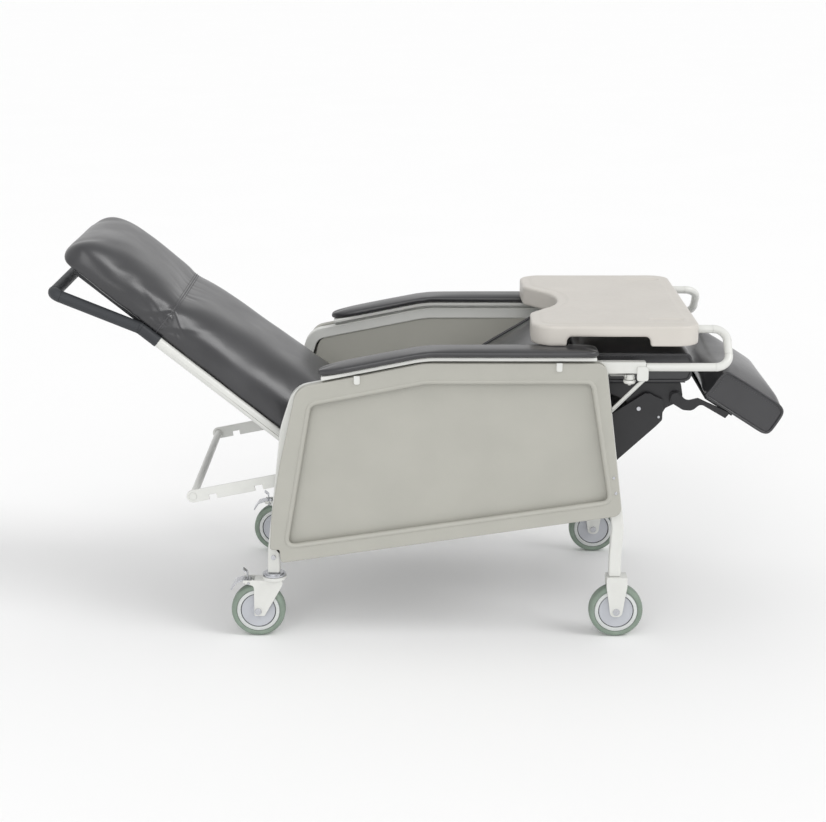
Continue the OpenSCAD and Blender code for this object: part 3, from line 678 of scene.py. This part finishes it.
def back_cover():
    """The back and the pillow under one cover with rolled edges, drawn in along the seam between them."""
    obj = joined("back_cover", [clean_copy("back_cushion", "low"), clean_copy("head_pillow", "high")])
    remeshed(obj, 0.006, 6)
    places = coords(obj)
    along, out = along_and_out(places, BACK)
    low, high = limits_along(along, out)
    tip = along.max()
    base = low + TIP_BASE
    past_bend = np.clip((along - TIP_BEND_AT) / (tip - TIP_BEND_AT), 0, 1)
    before_bend = high[np.abs(along - TIP_BEND_AT) < 0.01].mean()
    wanted = base + (before_bend - base) * (1 - past_bend ** 2.4) ** 0.45
    squeeze = np.clip((wanted - base) / np.maximum(high - base, 1e-4), 0, 1)
    squeeze[(along < TIP_BEND_AT) | (out < base)] = 1
    out = base + (out - base) * squeeze
    high = np.where(along < TIP_BEND_AT, high, np.minimum(high, wanted))
    thick = np.maximum(high - low, 0.02)
    side, sign = np.abs(places[:, 1]), np.sign(places[:, 1])
    side, out = rolled(side, out, PAD_HALF, high, ROLL, 0.8 * thick)
    side, along = rolled(side, along, PAD_HALF, tip, *TIP_CORNER)
    flat = BACK[0] + along[:, None] * BACK[1] + out[:, None] * BACK[2]
    set_coords(obj, np.column_stack([flat[:, 0], sign * side, flat[:, 1]]))
    baked(obj, ("SMOOTH", {"factor": 0.5, "iterations": 8}))
    places, outward = coords(obj), normals(obj)
    along, out = along_and_out(places, BACK)
    low, high = limits_along(along, out)
    roundness = np.clip((np.abs(places[:, 1]) - PAD_HALF + 0.08) / 0.06, 0, 1)
    draw_in = (0.002 + 0.004 * roundness) * np.exp(-((along - SEAM_AT) / 0.012) ** 2) * (out > low + 0.02)
    wrap = WRAP * np.clip((low + 0.012 - out) / 0.012, 0, 1)
    places -= outward * (CLOTH_ROOM + draw_in)[:, None]
    places -= wrap[:, None] * np.array([BACK[2][0], 0, BACK[2][1]])
    set_coords(obj, places)
    held = (np.abs(along - SEAM_AT) < 0.004) | (out < low + 0.008)
    hold(obj, held)
    return obj


def inward_from(outline):
    """The unit vector into a closed flat outline at each of its points."""
    ahead, behind = np.roll(outline, -1, axis=0), np.roll(outline, 1, axis=0)
    tangents = (ahead - behind) / np.linalg.norm(ahead - behind, axis=1)[:, None]
    turning = np.sum(outline[:, 0] * ahead[:, 1] - outline[:, 1] * ahead[:, 0])
    return np.column_stack([-tangents[:, 1], tangents[:, 0]]) * np.sign(turning)


def inset_outline(node, inset, step=0.005):
    """The outline of a pad's end, with its upper side moved inwards."""
    outline = resampled(end_outline(node), step)
    inward = inward_from(outline)
    return outline + inward * inset * np.clip(-3 * inward[:, 1:], 0, 1)


def boxed_pad(node, name, drop):
    """A pad with a flat panel at each end: its faces fall by drop towards the welt round each panel."""
    obj = clean_copy(node, name)
    remeshed(obj, 0.0055, 4)
    places, outward = coords(obj), normals(obj)
    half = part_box(node)[1].y
    near_end = np.clip((np.abs(places[:, 1]) - half + 0.075) / 0.07, 0, 1)
    fall = drop * near_end ** 2.2 * np.clip(3 * outward[:, 2], 0, 1)
    square = np.column_stack([outward[:, 0], np.zeros(len(places)), outward[:, 2]])
    set_coords(obj, places - square * fall[:, None] - outward * CLOTH_ROOM)
    outline = inset_outline(node, drop)
    lines = [np.column_stack([outline[:, 0], np.full(len(outline), y), outline[:, 1]]) for y in (-half, half)]
    hold_near(obj, lines, 0.011)
    return obj


def welt_lines(node, tree, drop, lift):
    """The welt round each end panel of a boxed pad, laid on its cover."""
    outline = inset_outline(node, drop - 0.002)
    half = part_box(node)[1].y - 0.004
    for side, sign in SIDES.items():
        path = np.column_stack([outline[:, 0], np.full(len(outline), sign * half), outline[:, 1]])
        yield side, laid_on(tree, path, lift)


def arm_cover(side):
    """An arm pad with a rounded tip, its vinyl gathered under at both ends."""
    node = f"arm_pad_{side}"
    obj = clean_copy(node, f"arm_cover_{side}")
    remeshed(obj, 0.004, 8)
    places = coords(obj) - normals(obj) * 0.001
    low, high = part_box(node)
    middle = (low.y + high.y) / 2
    from_tip = np.clip((places[:, 0] - low.x) / ARM_TIP, 0, 1)
    from_nose = np.clip((high.x - places[:, 0]) / ARM_NOSE, 0, 1)
    width = np.sqrt(np.maximum(1 - (1 - from_tip) ** 2, 0.05))
    width = width * np.sqrt(np.maximum(1 - 0.6 * (1 - from_nose) ** 2, 0.05))
    places[:, 1] = middle + (places[:, 1] - middle) * width
    set_coords(obj, places)
    hold(obj, normals(obj)[:, 2] < -0.5)
    return obj


back = back_cover()
seat = boxed_pad("seat_cushion", "seat_cover", WELT_DROP["seat_cushion"])
calf = boxed_pad("calf_pad", "calf_cover", WELT_DROP["calf_pad"])
foot = boxed_pad("foot_pad", "foot_cover", WELT_DROP["foot_pad"])
arms = {side: arm_cover(side) for side in SIDES}

swelling = [
    (back, 4.0, 0.022), (seat, 8.0, 0.018), (calf, 9.0, 0.014), (foot, 14.0, 0.018),
    (arms["right"], 3.0, 0.005), (arms["left"], 3.0, 0.005),
]
for pad, pressure, _ in swelling:
    add_cloth(pad, pressure)
inflate([(pad, cap) for pad, _, cap in swelling])


def gather_back(obj):
    """Puckers that run out from the seam: deep ones on the sides, and faint ones across the front."""
    places, outward = coords(obj), normals(obj)
    along, out = along_and_out(places, BACK)
    low, high = limits_along(along, out)
    depth = SIDE_DEPTH * (out - low) / np.maximum(high - low, 0.01)
    off = along - SEAM_AT
    on_side = np.clip((np.abs(places[:, 1]) - PAD_HALF + ROLL) / (0.6 * ROLL), 0, 1)
    lift = np.zeros(len(places))
    for direction in (1, -1):
        ahead = np.clip(off * direction, 0, None)
        for side in SIDES.values():
            for start in (0.16, 0.34, 0.52, 0.70):
                lean = GATHERS.uniform(-1.2, 0.8)
                length = GATHERS.uniform(0.03, 0.055)
                gap = depth - start * SIDE_DEPTH - lean * ahead
                fade = np.exp(-ahead / length) * (ahead > 0.001) * on_side * (places[:, 1] * side > 0)
                swell = 0.0024 * np.exp(-((gap - 0.010) / 0.008) ** 2)
                lift += fade * (swell - 0.0030 * np.exp(-(gap / 0.006) ** 2))
        for _ in range(11):
            start = GATHERS.uniform(-0.18, 0.18)
            lean = GATHERS.uniform(-0.5, 0.5)
            length = GATHERS.uniform(0.015, 0.05)
            gap = places[:, 1] - start - lean * ahead
            fade = np.exp(-ahead / length) * (ahead > 0.001) * (1 - on_side) * (outward[:, 2] > 0)
            lift -= fade * 0.0009 * np.exp(-(gap / (0.006 + 0.2 * ahead)) ** 2)
    slow = ripples(along + 0.3 * out, 2, 0.12, 0.2) * ripples(places[:, 1], 2, 0.2, 0.35) * 0.0006
    set_coords(obj, places + outward * (lift + slow)[:, None])


gather_back(back)
THREAD = rubber("thread_grey", (0.10, 0.10, 0.105, 1), 0.7)


def dress(obj, node_names, body):
    """Finishes a cover: one subdivision, smooth shading, vinyl, and what it stands for."""
    shade(obj, 180)
    obj.vertex_groups.clear()
    smooth = obj.modifiers.new("smooth", "SUBSURF")
    smooth.levels = smooth.render_levels = 1
    finish_piece(obj, body, VINYL, "vinyl_charcoal", node_names)


dress(back, ["back_cushion", "head_pillow"], "back")
dress(seat, ["seat_cushion"], "seat")
dress(calf, ["calf_pad"], "calf_rest")
dress(foot, ["foot_pad"], "foot_rest")
for side, arm in arms.items():
    dress(arm, [f"arm_pad_{side}"], "frame")

seam, _ = ring_at(surface_of(back), BACK, SEAM_AT, PAD_HALF, 0.015, 0.11)
finish_piece(tube("back_seam", seam, 0.0011), "back", THREAD, "vinyl_charcoal")
for row, shift in (("upper", 0.005), ("lower", -0.005)):
    line, line_ups = ring_at(surface_of(back), BACK, SEAM_AT + shift, PAD_HALF, 0.015, 0.11)
    thread = stitches(f"back_stitches_{row}", line + line_ups * 0.0003, line_ups)
    finish_piece(thread, "back", THREAD, "vinyl_charcoal")

BOXED = (("calf_pad", calf, "calf_rest"), ("foot_pad", foot, "foot_rest"), ("seat_cushion", seat, "seat"))
for node, cover, body in BOXED:
    stem = node.split("_")[0]
    for side, (line, _) in welt_lines(node, surface_of(cover), WELT_DROP[node], 0.0016):
        welt = tube(f"{stem}_welt_{side}", line, WELT_R)
        finish_piece(welt, body, VINYL, "vinyl_charcoal")
    for side, (line, line_ups) in welt_lines(node, surface_of(cover), WELT_DROP[node] + 0.009, 0.0003):
        thread = stitches(f"{stem}_stitches_{side}", line, line_ups)
        finish_piece(thread, body, THREAD, "vinyl_charcoal")


# ---------- side panels ----------

RIM_DEPTH = 0.0006
BEAD_R = 0.0062
BEAD_PROUD = 0.0022
LINER_REACH = 0.013
LINER_SET_BACK = 0.004
LINER_THICK = 0.003


def field_edge(node, sign):
    """The closed line round a side panel's recessed field, where its flat rim ends."""
    bm = welded(node)
    least = max(sign * v.co.y for v in bm.verts) - RIM_DEPTH
    rim = {f for f in bm.faces if sign * f.normal.y > 0.99 and sign * f.calc_center_median().y > least}
    left = {e for e in bm.edges if sum(f in rim for f in e.link_faces) == 1}
    lines = []
    while left:
        line = list(left.pop().verts)
        step = True
        while step:
            step = next((e for e in line[-1].link_edges if e in left), None)
            if step:
                left.remove(step)
                line.append(step.other_vert(line[-1]))
        lines.append(np.array([v.co for v in line[:-1]]))
    bm.free()
    return min(lines, key=lambda line: np.ptp(line[:, 0]))


def liner(side, sign, line):
    """The inner board of a side panel, set into the frame opening just behind its tubes' inner faces."""
    outline = line[:, [0, 2]]
    outline = outline - inward_from(outline) * LINER_REACH
    low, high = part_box(f"side_frame_{side}")
    inner = sign * (min(abs(low.y), abs(high.y)) + LINER_SET_BACK)
    count = len(outline)
    verts = [(x, inner + sign * depth, z) for depth in (0, LINER_THICK) for x, z in outline]
    faces = [tuple(range(count)), tuple(reversed(range(count, 2 * count)))]
    faces += [(i, (i + 1) % count, count + (i + 1) % count, count + i) for i in range(count)]
    board = mesh_from(f"panel_liner_{side}", verts, faces)
    face_outwards(board)
    finish_piece(board, "frame", PANEL, "panel_beige")


for side, sign in SIDES.items():
    line = evened(resampled(field_edge(f"side_panel_{side}", sign), 0.006), 3)
    liner(side, sign, line)
    line[:, 1] -= sign * (BEAD_R - BEAD_PROUD)
    bead = tube(f"panel_bead_{side}", line, BEAD_R, sides=20)
    finish_piece(bead, "frame", PANEL, "panel_beige")


# ---------- tray ----------

BORDER = 0.028
BORDER_DROP = 0.0018
DIP_X = (0.540, 0.598)
DIP_Y = 0.240
DIP_R = 0.013
DIP_DROP = 0.003
SLOPE = 0.006


def outline_of_top(node):
    """The outline of a node's highest flat face, as (x, y) points a few millimetres apart."""
    obj = clean_copy(node, "outline")
    top = max(obj.data.polygons, key=lambda face: (round(face.center.z, 4), face.area))
    corners = np.array([obj.data.vertices[i].co[:2] for i in top.vertices])
    bpy.data.objects.remove(obj)
    return resampled(corners, 0.003)


def tray_shell():
    """The moulded tray: rounded edges, a border a little lower than the field, two shallow finger dips."""
    edge = outline_of_top("tray_top")
    top_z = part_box("tray_top")[1].z
    obj = clean_copy("tray_top", "tray_shell")
    remeshed(obj, 0.0034, 12)
    places = coords(obj)
    upper = np.nonzero(places[:, 2] > top_z - 0.004)[0]
    flat = places[upper, :2]
    inset = np.concatenate([
        np.linalg.norm(block[:, None] - edge[None], axis=2).min(axis=1) for block in np.array_split(flat, 40)
    ])
    border = np.clip((BORDER - inset) / SLOPE, 0, 1)
    drop = BORDER_DROP * border * border * (3 - 2 * border)
    for side in SIDES.values():
        nearest_x = np.clip(flat[:, 0], *DIP_X)
        gap = np.hypot(flat[:, 0] - nearest_x, flat[:, 1] - side * DIP_Y)
        dip = np.clip((DIP_R - gap) / SLOPE, 0, 1)
        drop += DIP_DROP * dip * dip * (3 - 2 * dip)
    places[upper, 2] -= drop
    set_coords(obj, places)
    shade(obj, 180)
    return finish_piece(obj, "tray", TRAY, "tray_cream", ["tray_top"])


tray_shell()


# ---------- studio ----------


SEEN_WHITE = 1.02
LIGHTING_WHITE = 0.78
SUNS = (("key", (2.9, -1.2, 3.0), 26, 0.85), ("fill", (-0.8, -3.6, 1.9), 40, 0.65))
FLOOR_REACH = 60


def studio():
    """White surroundings that light less than they show, a broad key sun and a broader fill."""
    scene = bpy.context.scene
    scene.view_settings.view_transform = "Standard"
    world = bpy.data.worlds.new("studio")
    world.use_nodes = True
    tree = world.node_tree
    seen = tree.nodes.new("ShaderNodeLightPath")
    level = tree.nodes.new("ShaderNodeMapRange")
    level.inputs["To Min"].default_value = LIGHTING_WHITE
    level.inputs["To Max"].default_value = SEEN_WHITE
    tree.links.new(seen.outputs["Is Camera Ray"], level.inputs["Value"])
    tree.links.new(level.outputs[0], tree.nodes["Background"].inputs["Strength"])
    tree.nodes["Background"].inputs["Color"].default_value = (1, 1, 1, 1)
    scene.world = world
    for name, place, spread, power in SUNS:
        light = bpy.data.lights.new(name, "SUN")
        light.angle = math.radians(spread)
        light.energy = power
        lamp = bpy.data.objects.new(name, light)
        lamp.location = place
        lamp.rotation_euler = (-Vector(place)).to_track_quat("-Z", "Y").to_euler()
        scene.collection.objects.link(lamp)
    corners = ((-1, -1), (1, -1), (1, 1), (-1, 1))
    floor = mesh_from("floor", [(x * FLOOR_REACH, y * FLOOR_REACH, 0) for x, y in corners], [(0, 1, 2, 3)])
    paint = Paint("floor_white", Roughness=0.7)
    wash = paint.noise(1.5, 3)
    floor.data.materials.append(paint.feed(Base_Color=paint.blend(wash, grey(0.94), grey(0.96))))


def camera():
    lens = bpy.data.cameras.new("camera")
    lens.sensor_width = 36
    lens.lens = 78.76
    eye = bpy.data.objects.new("camera", lens)
    eye.location = (0.0105, -4.2958, 1.6247)
    eye.rotation_euler = (math.pi / 2 - 0.2636, 0, 0.0058)
    bpy.context.scene.collection.objects.link(eye)
    bpy.context.scene.camera = eye


studio()
camera()
